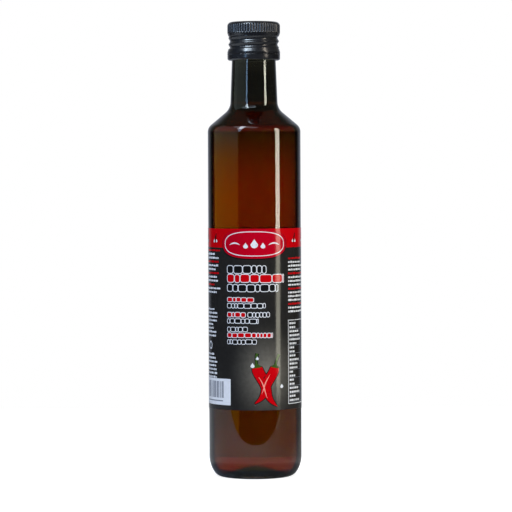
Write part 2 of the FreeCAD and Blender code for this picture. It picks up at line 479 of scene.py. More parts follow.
def dust(nodes, roughness, spread, specks):
    """Places the dust group and gives its two outputs."""
    node = nodes.add("ShaderNodeGroup")
    node.node_tree = dust_group()
    nodes.give(node, Roughness=roughness, Spread=spread, Specks=specks)
    return node.outputs["Roughness"], node.outputs["Speck"]


def material(name):
    """A new material, its nodes and its Principled shader."""
    made = bpy.data.materials.new(name)
    made.use_nodes = True
    nodes = Nodes(made.node_tree)
    return made, nodes, made.node_tree.nodes["Principled BSDF"]


# ---- Materials ------------------------------------------------------------------------------
def glass_material(size, wetted):
    """Clear bottle glass. Where oil wets it, it throws back almost no light. Outside, it has painted shade:
    its tint turns nearly black towards the outline.
    """
    made, nodes, shader = material("Wetted glass" if wetted else "Bottle glass")
    nodes.give(shader, Transmission_Weight=1.0, IOR=1.52)
    where = nodes.where()
    rough, speck = dust(nodes, 0.012, 0.008, 0.35)
    nodes.give(shader, Roughness=rough)
    # Painted shade: on the dry outside, the glass's tint turns nearly black towards its outline.
    edge = nodes.add("ShaderNodeLayerWeight", Blend=0.5).outputs["Facing"]
    rim = nodes.ramp(edge, 0.47, 0.57)
    tint = tuple(size.tint)
    if wetted:
        nodes.give(shader, Specular_Tint=(0.0, 0.0, 0.0))
        nodes.give(shader, Base_Color=nodes.mix(speck, tint, (0.6, 0.55, 0.45)))
    else:
        shown = nodes.mix(rim, tint, (0.012, 0.011, 0.009))
        nodes.give(shader, Base_Color=nodes.mix(speck, shown, (0.75, 0.75, 0.72)))
    ripple = nodes.noise(where, 38.0, 2.0)
    height = nodes.times(ripple, 0.35)
    if not wetted:
        height = nodes.plus(height, knurled_foot(nodes, where))
    nodes.relief(shader, 0.12, 0.0006, height)
    return made


FOOT_RIBS = 150.0       # ribs round the edge of the bearing ring


def knurled_foot(nodes, where):
    """Height of the short ribs pressed into the edge of the bearing ring."""
    place = nodes.split(where)
    turn = nodes.math("ARCTAN2", place["Y"], place["X"])
    ribs = nodes.math("SINE", nodes.times(turn, FOOT_RIBS))
    low = nodes.ramp(place["Z"], 0.0012, 0.0022, 1.0, 0.0)
    return nodes.times(ribs, low, 2.5)


# Painted shade: between these heights the oil's cloud turns greyer and darker towards the shoulder and
# neck.
CLOUD_CHANGE = (0.2130, 0.2190)         # heights between which the cloud turns to the high cloud
# Painted shade: over the base, the oil's cloud turns dark and bluish.
BASE_SHADE_RADIUS = (0.0249, 0.0256)    # where the dark look of the oil over the base ends, sideways
BASE_SHADE_HEIGHT = (0.02, 0.03)        # and upwards
BASE_SHADE = (0.035, 0.075, 0.120)


def oil_material(oil):
    """Dark red oil: clear, deepening with its thickness, with a little fine cloud in it. The cloud carries
    painted shade: greyer and darker in the shoulder and neck, dark and bluish over the base.
    """
    made, nodes, shader = material("Chili oil")
    nodes.give(shader, IOR=1.47, Roughness=0.0, Specular_Tint=(0.0, 0.0, 0.0),
                 Transmission_Weight=oil.clear_share)
    where = nodes.where()
    drift = nodes.noise(where, 24.0, 4.0)
    along = nodes.split(where)
    # Painted shade: the cloud turns greyer and darker in the shoulder and neck.
    shoulder = nodes.ramp(along["Z"], *CLOUD_CHANGE)
    cloud = nodes.mix(shoulder, tuple(oil.cloud), tuple(oil.high_cloud_painted_shade))
    flat = nodes.add("ShaderNodeCombineXYZ", X=along["X"], Y=along["Y"]).outputs[0]
    across = nodes.size(flat)
    # Painted shade: the cloud turns dark and bluish low over the base.
    painted_base_shade = nodes.times(nodes.ramp(across, *BASE_SHADE_RADIUS, 1.0, 0.0),
                            nodes.ramp(along["Z"], *BASE_SHADE_HEIGHT, 1.0, 0.0))
    cloud = nodes.mix(painted_base_shade, cloud, BASE_SHADE)
    faded = nodes.add("ShaderNodeBrightContrast", Color=cloud, Bright=-0.03).outputs[0]
    nodes.give(shader, Base_Color=nodes.mix(drift, faded, cloud))
    depth = nodes.add("ShaderNodeVolumeAbsorption", Color=tuple(oil.depth_colour), Density=oil.density)
    output = made.node_tree.nodes["Material Output"]
    nodes.feed(output.inputs["Volume"], depth.outputs["Volume"])
    return made


def flake_material():
    """Soaked chili flake, from dull red to orange."""
    made, nodes, shader = material("Chili flake")
    where = nodes.where()
    patch = nodes.ramp(nodes.noise(where, 900.0, 3.0), 0.35, 0.65)
    nodes.give(shader, Base_Color=nodes.mix(patch, screen(150, 36, 8), screen(235, 120, 30)))
    nodes.give(shader, Roughness=0.45, Subsurface_Weight=0.2, Subsurface_Scale=0.0005)
    nodes.relief(shader, 0.4, 0.0001, patch)
    return made


def cap_material(cap):
    """Black lacquer on rolled aluminium, with dust in it and painted highlights: light bluish lines on the
    tops of the grip's ribs.
    """
    made, nodes, shader = material("Cap lacquer")
    where = nodes.where()
    rough, speck = dust(nodes, 0.24, 0.04, 0.5)
    nodes.give(shader, Roughness=rough)
    flat = nodes.add("ShaderNodeMapping", Vector=where)
    flat.inputs["Scale"].default_value = (1.0, 1.0, 14.0)
    rolled = nodes.ramp(nodes.noise(flat.outputs["Vector"], 120.0, 4.0), 0.35, 0.75)
    lacquer = tuple(cap.lacquer)
    lighter = tuple(v * 1.7 + 0.003 for v in lacquer)
    shown = nodes.mix(nodes.times(rolled, 0.5), lacquer, lighter)
    place = nodes.split(where)
    turn = nodes.math("ARCTAN2", place["Y"], place["X"])
    ribs = nodes.math("COSINE", nodes.times(turn, float(cap.grip_count)))
    foot = CAP_HIGH - cap.grip
    grip = nodes.times(nodes.ramp(place["Z"], foot, foot + 0.7 * MM),
                      nodes.ramp(place["Z"], CAP_HIGH - 1.9 * MM, CAP_HIGH - 1.3 * MM, 1.0, 0.0))
    # Painted highlight: light bluish lines on the tops of the grip's ribs.
    painted_crest_highlight = nodes.times(nodes.ramp(ribs, -0.9, -0.2, 1.0, 0.0), grip)
    shown = nodes.mix(painted_crest_highlight, shown, (0.075, 0.085, 0.105))
    nodes.give(shader, Base_Color=nodes.mix(speck, shown, (0.16, 0.16, 0.16)))
    nodes.give(shader, IOR=1.5, Coat_Weight=0.35, Coat_Roughness=0.12)
    nodes.relief(shader, 0.04, 0.0002, rolled)
    return made


def film_finish(nodes, shader, base, roughness=0.1):
    """Gloss, dust and orange-peel relief of printed film, on a colour or a colour socket."""
    where = nodes.where()
    rough, speck = dust(nodes, roughness, 0.03, 0.35)
    nodes.give(shader, Roughness=rough)
    mottle = nodes.ramp(nodes.noise(where, 420.0, 3.0), 0.3, 0.7, 0.0, 0.14)
    shown = nodes.mix(mottle, base, tuple(v * 0.55 for v in base) if isinstance(base, tuple) else (0, 0, 0))
    nodes.give(shader, Base_Color=nodes.mix(nodes.times(speck, 0.3), shown, (0.5, 0.5, 0.5)))
    peel = nodes.noise(where, 1500.0, 2.0)
    nodes.relief(shader, 0.10, 0.00008, peel)


def label_material(label):
    """Charcoal film with a soft light field low on its front."""
    made, nodes, shader = material("Label film")
    spot = nodes.add("ShaderNodeUVMap").outputs["UV"]
    place = nodes.split(spot)
    across = nodes.math("DIVIDE", nodes.minus(place["X"], GLOW_CENTRE[0]), GLOW_SIZE[0])
    along = nodes.math("DIVIDE", nodes.minus(place["Y"], GLOW_CENTRE[1]), GLOW_SIZE[1])
    far = nodes.math("SQRT", nodes.plus(nodes.math("POWER", across, 2.0), nodes.math("POWER", along, 2.0)))
    light = nodes.math("POWER", nodes.ramp(far, 1.0, 0.0, kind="LINEAR"), 1.6)
    shown = nodes.mix(light, tuple(label.field), tuple(label.glow))
    film_finish(nodes, shader, shown)
    nodes.give(shader, IOR=1.5, Specular_IOR_Level=0.2)
    return made


def ink_material(name, ink, roughness=0.1):
    """One printed colour."""
    made, nodes, shader = material(name)
    film_finish(nodes, shader, tuple(ink), roughness)
    nodes.give(shader, IOR=1.5, Specular_IOR_Level=0.2)
    return made


# ---- Label layout, in millimetres along the label from the middle of its front, and up ------
GLOW_CENTRE = (7.0 * MM, 66.0 * MM)
GLOW_SIZE = (25.0 * MM, 33.0 * MM)


class Flat:
    """A flat drawing that is later laid round the bottle: x runs along the label, y up it."""

    def __init__(self, step):
        self.mesh = bmesh.new()
        self.step = step

    def columns(self, xs, low, high, layer):
        """Filled shape between a lower and an upper edge, given for each x, in millimetres."""
        before = None
        for x, bottom, top in zip(xs, low, high):
            top = max(top, bottom + 0.002)
            pair = [self.mesh.verts.new((x * MM, y * MM, self.step * layer)) for y in (bottom, top)]
            if before:
                self.mesh.faces.new((before[0], pair[0], pair[1], before[1]))
            before = pair

    def bar(self, x0, x1, y0, y1, layer, rounding=0.0):
        """Upright rectangle with rounded ends."""
        rounding = min(rounding, (x1 - x0) / 2, (y1 - y0) / 2)
        cuts = {x0, x1}
        steps = max(1, math.ceil((x1 - x0) / 1.2))
        cuts.update(x0 + (x1 - x0) * part / steps for part in range(steps + 1))
        if rounding > 0:
            for part in range(1, 5):
                reach = rounding * (1 - math.cos(math.pi / 8 * part))
                cuts.update((x0 + reach, x1 - reach))
        xs = sorted(cuts)
        inset = []
        for x in xs:
            end = rounding - min(x - x0, x1 - x, rounding)
            inset.append(rounding - math.sqrt(max(rounding ** 2 - end ** 2, 0.0)))
        self.columns(xs, [y0 + i for i in inset], [y1 - i for i in inset], layer)

    def oval(self, centre, half, layer, power=2.0, steps=48):
        """Filled oval, squarer as its power grows."""
        xs, low, high = [], [], []
        for part in range(steps + 1):
            share = -math.cos(math.pi * part / steps)
            lift = half[1] * max(1 - abs(share) ** power, 0.0) ** (1 / power)
            xs.append(centre[0] + half[0] * share)
            low.append(centre[1] - lift)
            high.append(centre[1] + lift)
        self.columns(xs, low, high, layer)

    def ribbon(self, path, widths, layer):
        """Strip of changing width along a path."""
        rows = []
        for index, point in enumerate(path):
            ahead = path[min(index + 1, len(path) - 1)]
            behind = path[max(index - 1, 0)]
            along = (Vector(ahead) - Vector(behind)).normalized()
            side = Vector((-along.y, along.x)) * widths[index]
            ends = (Vector(point) - side, Vector(point), Vector(point) + side)
            rows.append([self.mesh.verts.new((p.x * MM, p.y * MM, self.step * layer)) for p in ends])
        for first, second in zip(rows, rows[1:]):
            for side in (0, 1):
                self.mesh.faces.new((first[side], second[side], second[side + 1], first[side + 1]))


def wrap_tree():
    """Geometry nodes that lay a flat drawing round an upright cylinder."""
    name = "Lay round cylinder"
    if name in bpy.data.node_groups:
        return bpy.data.node_groups[name]
    nodes, entry, leave = geometry_group(name, [("Radius", "NodeSocketFloat", BODY_R)])
    place = nodes.split(nodes.add("GeometryNodeInputPosition").outputs[0])
    radius = nodes.plus(entry.outputs["Radius"], place["Z"])
    turn = nodes.math("DIVIDE", place["X"], entry.outputs["Radius"])
    across = nodes.times(radius, nodes.math("SINE", turn))
    deep = nodes.times(radius, nodes.math("COSINE", turn), -1.0)
    there = nodes.add("ShaderNodeCombineXYZ", X=across, Y=deep, Z=place["Y"])
    move = nodes.add("GeometryNodeSetPosition", Geometry=entry.outputs["Geometry"],
                     Position=there.outputs[0])
    smooth = nodes.add("GeometryNodeSetShadeSmooth", Geometry=move.outputs[0])
    return close_group(nodes, entry, leave, smooth.outputs[0])


def apply_tree(piece, tree, **values):
    """Runs a geometry node tree on a piece with its named inputs, and keeps the plain mesh."""
    modifier = piece.modifiers.new("Tree", "NODES")
    modifier.node_group = tree
    for item in tree.interface.items_tree:
        if item.item_type == "SOCKET" and item.in_out == "INPUT" and item.name in values:
            modifier[item.identifier] = values[item.name]
    bpy.context.view_layer.update()
    ready = piece.evaluated_get(bpy.context.evaluated_depsgraph_get())
    mesh = bpy.data.meshes.new_from_object(ready, preserve_all_data_layers=True,
                                           depsgraph=bpy.context.evaluated_depsgraph_get())
    piece.modifiers.clear()
    piece.data = mesh
    mesh.name = piece.name
    return piece


def lay(name, flat, finish):
    """Lays a flat drawing round the label, as a printed piece of the object."""
    piece = as_object(name, flat.mesh)
    apply_tree(piece, wrap_tree(), Radius=LABEL_R, Finish=finish)
    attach(piece, "root")
    return piece


# ---- Operators ------------------------------------------------------------------------------
class BOTTLE_OT_glass(bpy.types.Operator):
    """Blow the glass: foot with its push-up, body, shoulder, neck and mouth"""
    bl_idname = "bottle.make_glass"
    bl_label = "Bottle glass"

    def execute(self, context):
        size = settings("bottle_glass")
        foot = bearing_corner(size)
        outside = punt(size, foot, 0.0)
        outside += heel(BODY_R, 0.0, size.heel_radius, size.foot_radius, size.heel_height)
        outside += shoulder_and_neck(size, 0.0) + [(size.finish_radius, MOUTH, size.lip)]
        inside = inner_corners(size) + [(size.finish_radius - size.wall, MOUTH, 0)]
        corners = outside + inside[::-1]
        points = cut_at(refined(rounded_outline(corners), 6 * MM), OIL_LEVEL)
        glass = lathe("glass_body", points, size.turns)
        glass.data.materials.append(glass_material(size, False))
        glass.data.materials.append(glass_material(size, True))
        for face in glass.data.polygons:
            distance = Vector(face.center[:2]).length
            inward = face.normal.x * face.center.x + face.normal.y * face.center.y < 0
            floor = face.normal.z > 0.3 and distance < BODY_R - size.wall and face.center.z < 0.02
            if face.center.z < OIL_LEVEL and (inward and face.center.z > size.base or floor):
                face.material_index = 1
        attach(glass, "root")
        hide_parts("bottle_glass")
        return {"FINISHED"}


class BOTTLE_OT_oil(bpy.types.Operator):
    """Fill the bottle with oil, up to its level with a small meniscus"""
    bl_idname = "bottle.make_oil"
    bl_label = "Chili oil"

    def execute(self, context):
        size = settings("bottle_glass")
        oil = settings("bottle_oil")
        mouth = (size.finish_radius - size.wall, MOUTH, 0)
        points = rounded_outline(inner_corners(size, oil.reach) + [mouth])
        wall = [point for point in points if point.y < OIL_LEVEL]
        over = points[len(wall)]
        rim = wall[-1].lerp(over, (OIL_LEVEL - wall[-1].y) / (over.y - wall[-1].y))
        dish = []
        for part in range(1, 9):
            share = part / 8
            drop = oil.meniscus * (1 - share) ** 3
            dish.append(Vector((rim.x - 3 * oil.meniscus * share, OIL_LEVEL - oil.meniscus + drop)))
        points = refined(wall + [rim] + dish, 6 * MM) + [Vector((0, OIL_LEVEL - oil.meniscus))]
        body = lathe("oil_fill", points, size.turns)
        body.data.materials.append(oil_material(oil))
        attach(body, "root")
        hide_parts("oil")
        return {"FINISHED"}


def flake_tree():
    """Geometry nodes that strew small flat flakes over a surface."""
    nodes, entry, leave = geometry_group("Strew flakes", [
        ("Density", "NodeSocketFloat", 1000.0), ("Flake size", "NodeSocketFloat", 0.0007),
        ("Seed", "NodeSocketInt", 3)])
    spread = nodes.add("GeometryNodeDistributePointsOnFaces", Mesh=entry.outputs["Geometry"],
                       Density=entry.outputs["Density"], Seed=entry.outputs["Seed"])
    grain = nodes.add("GeometryNodeMeshIcoSphere", Radius=entry.outputs["Flake size"], Subdivisions=2)
    flat = nodes.add("GeometryNodeTransform", Geometry=grain.outputs["Mesh"], Scale=(1.0, 0.7, 0.22))
    turn = nodes.add("FunctionNodeRandomValue", Seed=11)
    turn.data_type = "FLOAT_VECTOR"
    turn.inputs["Max"].default_value = (0.6, 0.6, math.tau)
    grow = nodes.add("FunctionNodeRandomValue", Seed=5)
    grow.inputs[2].default_value = 0.35
    grow.inputs[3].default_value = 1.1
    place = nodes.add("GeometryNodeInstanceOnPoints", Points=spread.outputs["Points"],
                      Instance=flat.outputs[0], Rotation=turn.outputs[0], Scale=grow.outputs[1])
    return close_group(nodes, entry, leave, place.outputs[0])


class BOTTLE_OT_flakes(bpy.types.Operator):
    """Strew a few chili flakes in the trough at the bottom of the oil"""
    bl_idname = "bottle.make_flakes"
    bl_label = "Chili flakes"

    def execute(self, context):
        size = settings("bottle_glass")
        oil = settings("bottle_oil")
        inner, outer = 19.5 * MM, 22.6 * MM
        ring = bmesh.new()
        bmesh.ops.create_circle(ring, segments=72, radius=outer)
        bmesh.ops.create_circle(ring, segments=72, radius=inner)
        bmesh.ops.bridge_loops(ring, edges=ring.edges[:])
        bmesh.ops.translate(ring, verts=ring.verts, vec=(0, 0, size.base + 0.9 * MM))
        piece = as_object("chili_flakes", ring)
        area = math.pi * (outer ** 2 - inner ** 2)
        apply_tree(piece, flake_tree(), **{
            "Density": oil.flakes / area, "Flake size": oil.flake_size / 2, "Finish": flake_material()})
        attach(piece, "root")
        return {"FINISHED"}


def relief_tree():
    """Geometry nodes that press the thread, the grip grooves and the tear line into a cap."""
    names = ["Low", "Pitch", "Phase", "Thread depth", "Thread low", "Thread high", "Grooves",
             "Groove depth", "Grip low", "Grip high", "Tear height", "Tear width", "Tear depth",
             "Bridges", "Bore"]
    nodes, entry, leave = geometry_group("Press relief", [(n, "NodeSocketFloat", 0.0) for n in names])
    given = entry.outputs
    where = nodes.add("GeometryNodeInputPosition").outputs[0]
    place = nodes.split(where)
    turn = nodes.math("ARCTAN2", place["Y"], place["X"])
    radius = nodes.math("SQRT", nodes.plus(nodes.math("POWER", place["X"], 2.0),
                                           nodes.math("POWER", place["Y"], 2.0)))
    height = nodes.minus(place["Z"], given["Low"])

    def between(low, high, fade):
        """1 inside a range of heights, falling to 0 over a short fade inside both its ends."""
        rise = nodes.ramp(height, low, nodes.plus(low, fade))
        fall = nodes.ramp(height, nodes.minus(high, fade), high, 1.0, 0.0)
        return nodes.times(rise, fall)

    wound = nodes.minus(
                       nodes.math("DIVIDE", nodes.minus(height, given["Phase"]), given["Pitch"]),
                       nodes.math("DIVIDE", turn, math.tau))
    wave = nodes.math("COSINE", nodes.times(wound, math.tau))
    wave = nodes.math("POWER", nodes.math("MULTIPLY_ADD", wave, 0.5, 0.5), 0.75)
    thread = nodes.times(wave, given["Thread depth"],
                        between(given["Thread low"], given["Thread high"], 0.0009))
    ribs = nodes.math("COSINE", nodes.times(turn, given["Grooves"]))
    ribs = nodes.math("POWER", nodes.math("MULTIPLY_ADD", ribs, 0.5, 0.5), 1.6)
    grip = nodes.times(ribs, given["Groove depth"],
                      between(given["Grip low"], given["Grip high"], 0.0008))
    gap = nodes.math("ABSOLUTE", nodes.minus(height, given["Tear height"]))
    half = nodes.times(given["Tear width"], 0.5)
    slit = nodes.ramp(gap, nodes.times(half, 0.7), nodes.times(half, 1.3), 1.0, 0.0)
    step = nodes.math("COSINE", nodes.times(turn, given["Bridges"]))
    bridge = nodes.ramp(step, 0.90, 0.97, 1.0, 0.0)
    tear = nodes.times(slit, bridge, given["Tear depth"])
    depth = nodes.plus(nodes.plus(thread, grip), tear)
    outer = nodes.ramp(nodes.minus(radius, given["Bore"]), 0.0002, 0.0008)
    depth = nodes.times(depth, outer)
    shrink = nodes.minus(1.0, nodes.math("DIVIDE", depth, nodes.math("MAXIMUM", radius, 0.001)))
    there = nodes.add("ShaderNodeCombineXYZ", X=nodes.times(place["X"], shrink),
                      Y=nodes.times(place["Y"], shrink), Z=place["Z"])
    move = nodes.add("GeometryNodeSetPosition", Geometry=given["Geometry"], Position=there.outputs[0])
    return close_group(nodes, entry, leave, move.outputs[0])


class BOTTLE_OT_cap(bpy.types.Operator):
    """Roll the black cap: grip, thread, bulge, tear line and tamper band"""
    bl_idname = "bottle.make_cap"
    bl_label = "Screw cap"

    def execute(self, context):
        cap = settings("bottle_cap")
        band_top = CAP_LOW + cap.lower_band
        grip_foot = CAP_HIGH - cap.grip
        outside = [
            (cap.bore, CAP_LOW, 0.25 * MM),
            (CAP_R, CAP_LOW, 1.3 * MM),
            (CAP_R, band_top, 0.8 * MM),
            (cap.crest, band_top + cap.band_slope, 0.8 * MM),
            (cap.crest, grip_foot - cap.grip_slope, 0.8 * MM),
            (CAP_R, grip_foot, 0.8 * MM),
            (CAP_R, CAP_HIGH, 2.6 * MM),
            (0, CAP_HIGH, 0),
        ]
        inside = [(0, CAP_HIGH - cap.top, 0), (cap.bore, CAP_HIGH - cap.top, 0)]
        shell = rounded_outline(inside + outside, math.radians(9))
        points = []
        for start, end in zip(shell, shell[1:]):
            visible = min(start.x, end.x) > cap.bore + 0.2 * MM
            points += refined([start, end], 0.16 * MM if visible else 4 * MM)[:-1]
        points.append(shell[-1])
        turns = 8 * cap.grip_count
        piece = lathe("cap_shell", points, turns)
        apply_tree(piece, relief_tree(), **{
            "Low": CAP_LOW, "Pitch": cap.thread_pitch, "Phase": cap.thread_phase,
            "Thread depth": cap.thread_depth, "Thread low": cap.lower_band + cap.band_slope - 0.4 * MM,
            "Thread high": grip_foot - cap.grip_slope - CAP_LOW + 0.3 * MM,
            "Grooves": float(cap.grip_count), "Groove depth": cap.grip_depth,
            "Grip low": grip_foot - CAP_LOW - 0.2 * MM, "Grip high": CAP_HIGH - CAP_LOW - 1.3 * MM,
            "Tear height": cap.tear_height, "Tear width": cap.tear_width, "Tear depth": cap.tear_depth,
            "Bridges": float(cap.bridges), "Bore": cap.bore, "Finish": cap_material(cap)})
        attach(piece, "root")
        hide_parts("screw_cap")
        return {"FINISHED"}


class BOTTLE_OT_label(bpy.types.Operator):
    """Wrap the charcoal label round the body, with its seam at the back"""
    bl_idname = "bottle.make_label"
    bl_label = "Label"

    def execute(self, context):
        label = settings("bottle_label")
        half = math.pi * BODY_R - label.seam / 2
        steps = 360
        sheet = bmesh.new()
        layer = sheet.loops.layers.uv.new("UVMap")
        spots = {}
        rows = []
        for radius in (BODY_R, LABEL_R):
            for height in (LABEL_LOW, LABEL_HIGH):
                row = []
                for index in range(steps + 1):
                    along = -half + 2 * half * index / steps
                    turn = along / BODY_R
                    vert = sheet.verts.new((radius * math.sin(turn), -radius * math.cos(turn), height))
                    spots[vert] = (along, height)
                    row.append(vert)
                rows.append(row)
        inner_low, inner_high, outer_low, outer_high = rows
        for index in range(steps):
            for first, second in ((outer_low, outer_high), (outer_high, inner_high),
                                  (inner_high, inner_low), (inner_low, outer_low)):
                sheet.faces.new((first[index], first[index + 1], second[index + 1], second[index]))
        for index in (0, steps):
            sheet.faces.new((inner_low[index], outer_low[index], outer_high[index], inner_high[index]))
        bmesh.ops.recalc_face_normals(sheet, faces=sheet.faces)
        for face in sheet.faces:
            for loop in face.loops:
                loop[layer].uv = spots[loop.vert]
        piece = as_object("label_sheet", sheet)
        piece.data.set_sharp_from_angle(angle=math.radians(40))
        piece.data.materials.append(label_material(label))
        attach(piece, "root")
        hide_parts("label")
        return {"FINISHED"}


HALF_ROUND = math.pi * 29.0 - 1.2       # half the label's length, a little short of its seam

# Rows of outlined blocks: left end, right end, foot, height, colour.
BLOCK_ROWS = [
    (-18.3, 7.4, 127.9, 5.3, "black"),
    (-18.3, 19.4, 122.2, 5.5, "red"),
    (-18.3, 15.2, 116.6, 4.9, "black"),
    (-18.3, -0.4, 110.3, 3.1, "red"),
    (-18.3, 6.8, 106.4, 3.3, "black"),
    (-18.3, -5.6, 100.8, 3.4, "red"),
    (-4.6, 9.4, 100.8, 3.4, "black"),
    (-18.3, 2.3, 97.0, 3.2, "black"),
    (-18.3, -4.4, 91.9, 3.2, "black"),
    (-18.3, 11.4, 88.2, 3.3, "red"),
    (-18.3, 1.1, 84.2, 3.1, "black"),
]

# Columns of fine dashes: left end, right end, top, number of lines, a red line every so many.
DASH_COLUMNS = [
    (-44.0, -23.5, 142.8, 12, 3),
    (-44.0, -26.5, 106.2, 8, 0),
    (-44.0, -25.0, 78.2, 7, 0),
    (23.0, 46.5, 137.8, 15, 4),
    (50.0, HALF_ROUND, 141.2, 22, 5),
    (50.0, HALF_ROUND, 81.2, 14, 0),
    (-HALF_ROUND, -50.0, 139.2, 20, 4),
    (-HALF_ROUND, -50.0, 85.2, 8, 2),
]
LINE_STEP = 2.36
DASH_HEIGHT = 1.25


class Inks:
    """The flat drawings, one for each printed colour and layer."""

    def __init__(self, step):
        self.step = step
        self.flats = {}

    def __getitem__(self, name):
        return self.flats.setdefault(name, Flat(self.step))


def block_row(inks, dice, left, right, foot, high, ink):
    """Blocks of uneven width with a white outline, standing where a line of words would."""
    outline = min(0.45, high * 0.12)
    x = left
    while x < right - 1.2:
        wide = min(high * dice.uniform(0.6, 1.5), right - x)
        lift = dice.uniform(-0.12, 0.12)
        low, top = foot + lift, foot + high + lift
        inks["white"].bar(x, x + wide, low, top, 1, high * 0.3)
        inks[ink].bar(x + outline, x + wide - outline, low + outline, top - outline,
                      2, high * 0.22)
        x += wide - outline * 0.4


def dash_column(inks, dice, left, right, top, lines, red_every):
    """Lines of short dashes in white, with whole lines in red now and then."""
    for line in range(lines):
        high = top - line * LINE_STEP
        ink = "red" if red_every and line % red_every == 0 else "white"
        end = right - dice.uniform(0.0, 0.35) * (right - left)
        x = left
        while x < end - 0.8:
            wide = min(dice.uniform(0.8, 3.4), end - x)
            rise = dice.uniform(0.75, 1.0) * DASH_HEIGHT
            inks[ink].bar(x, x + wide, high - DASH_HEIGHT, high - DASH_HEIGHT + rise, 1, 0.25)
            x += wide + 0.42


def stripe_panel(inks, dice):
    """White panel with upright grey stripes and a plain line below them."""
    left, right, low, high = -43.0, -16.0, 46.3, 62.6
    inks["white"].bar(left, right, low, high, 1, 0.4)
    x = left + 2.0
    while x < right - 5.2:
        wide = dice.choice((0.35, 0.7, 1.1))
        inks["grey"].bar(x, x + wide, low + 4.4, high - 1.6, 2)
        x += wide + dice.choice((0.35, 0.5, 0.8))
    inks["grey"].bar(left + 2.0, right - 6.0, low + 2.2, low + 2.9, 2)


def ruled_table(inks, dice):
    """Outlined table with ruled lines and dashes in its rows."""
    left, right, low, high = 22.8, 55.0, 46.7, 98.9
    rule = 0.4
    for y in (low, high - rule):
        inks["white"].bar(left, right, y, y + rule, 1)
    for x in (left, right - rule):
        inks["white"].bar(x, x + rule, low + rule, high - rule, 1)
    rows = 20
    step = (high - low - 2.0) / rows
    for row in range(rows):
        foot = low + 1.2 + row * step
        end = left + dice.uniform(4.5, 13.0)
        x = left + 1.2
        while x < end:
            wide = dice.uniform(0.8, 2.2)
            inks["white"].bar(x, x + wide, foot + 0.5, foot + 1.7, 1, 0.25)
            x += wide + 0.4
        inks["white"].bar(right - 9.0, right - 9.0 + dice.uniform(3.0, 6.0), foot + 0.5, foot + 1.7,
                          1, 0.25)
        if row % 2 == 0:
            inks["grey"].bar(left + rule, right - rule, foot - 0.1, foot + 0.08, 1)


def drop(inks, ink, centre, size, number):
    """Oil drop: round below and pointed above."""
    steps = 20
    path, widths = [], []
    for part in range(steps + 1):
        share = part / steps
        path.append((centre[0], centre[1] + size * (2.4 * share - 1.0)))
        round_part = math.sqrt(max(1 - (1 - 2.4 * share) ** 2, 0.0)) if share < 0.42 else None
        widths.append(size * (round_part if round_part is not None else (1 - share) / 0.58 * 0.999) + 0.001)
    inks[ink].ribbon(path, widths, number)


def pepper(inks, foot, lean, size, curl):
    """Plain chili pepper with a dark outline, a light streak, and a short stalk."""
    steps = 30
    path = []
    for part in range(steps + 1):
        share = part / steps
        side = curl * math.sin(math.pi * share * 0.9) + 0.35 * curl * math.sin(2.6 * math.pi * share)
        point = Vector((side, share)) * size
        path.append(Vector(foot) + Matrix.Rotation(-lean, 2) @ point)
    body = []
    for part in range(steps + 1):
        share = part / steps
        blunt = math.sqrt(max(1 - ((share - 0.9) / 0.1) ** 2, 0.0)) * 0.7 + 0.3
        swell = size * 0.115 * math.sin(math.pi / 2 * min(1.0, share / 0.72)) ** 0.9
        body.append(swell * (1.0 if share < 0.9 else blunt))
    inks["black"].ribbon(path, [w + 0.55 for w in body], 2)
    inks["red_top"].ribbon(path, [w + 0.02 for w in body], 3)
    streak = [point + Matrix.Rotation(-lean, 2) @ Vector((-size * 0.045, 0)) for point in path[8:24]]
    inks["shine"].ribbon(streak, [size * 0.012 * math.sin(math.pi * (i + 0.5) / 16) for i in range(16)],
                         4)
    top = path[-1]
    ahead = (path[-1] - path[-3]).normalized()
    stalk = [top + ahead * (size * 0.26 * part / 8) + Vector((0.05 * size * (part / 8) ** 2, 0))
             for part in range(9)]
    inks["black"].ribbon(stalk, [0.95 + 0.35 * (part / 8) for part in range(9)], 2)
    inks["leaf"].ribbon(stalk, [0.5 + 0.35 * (part / 8) for part in range(9)], 3)
    calyx = [top - ahead * size * 0.05, top - ahead * size * 0.02, top + ahead * size * 0.03]
    inks["leaf"].ribbon(calyx, [size * 0.10, size * 0.075, size * 0.03], 4)


def plaque(inks):
    """Plain crimson plaque with a thin white line and a sprig of three drops."""
    centre = (-0.2, 146.3)
    inks["black"].oval((centre[0], centre[1] - 0.35), (21.6, 9.5), 2, 2.6)
    inks["crimson"].oval(centre, (21.2, 9.1), 3, 2.6)
    inks["white_top"].oval(centre, (19.6, 7.7), 4, 2.6)
    inks["crimson_top"].oval(centre, (19.1, 7.2), 5, 2.6)
    for side, size, rise in ((-1, 1.5, -0.4), (0, 2.3, 0.6), (1, 1.5, -0.4)):
        drop(inks, "white_last", (centre[0] + side * 5.4, centre[1] + rise - 1.0), size, 6)
    for side in (-1, 1):
        path = []
        for part in range(13):
            lift = 1.1 * math.sin(math.pi * part / 12)
            path.append((centre[0] + side * (9.0 + 7.0 * part / 12), centre[1] - 0.6 + lift))
        inks["white_last"].ribbon(path, [0.42 * math.sin(math.pi * (part + 0.5) / 13) + 0.05
                                         for part in range(13)], 6)


def band(inks, label):
    """Red band round the top, with a small pair of drops and a leaf now and then."""
    top = LABEL_HIGH / MM
    foot = top - label.band / MM
    inks["red"].bar(-HALF_ROUND - 0.4, HALF_ROUND + 0.4, foot, top, 1)
    for number in range(-6, 7):
        along = 13.6 * number + math.copysign(1.5, number)
        if abs(along) < 24 or abs(along) > HALF_ROUND - 4:
            continue
        drop(inks, "white_top", (along - 1.3, foot + 4.0), 0.85, 3)
        drop(inks, "white_top", (along + 1.3, foot + 4.0), 0.85, 3)
        stem = [(along - 0.4 + 1.6 * (part / 8) ** 1.5, foot + 2.4 + 6.6 * part / 8) for part in range(9)]
        inks["black_top"].ribbon(stem, [0.18 + 0.42 * math.sin(math.pi * part / 8) for part in range(9)],
                                 4)


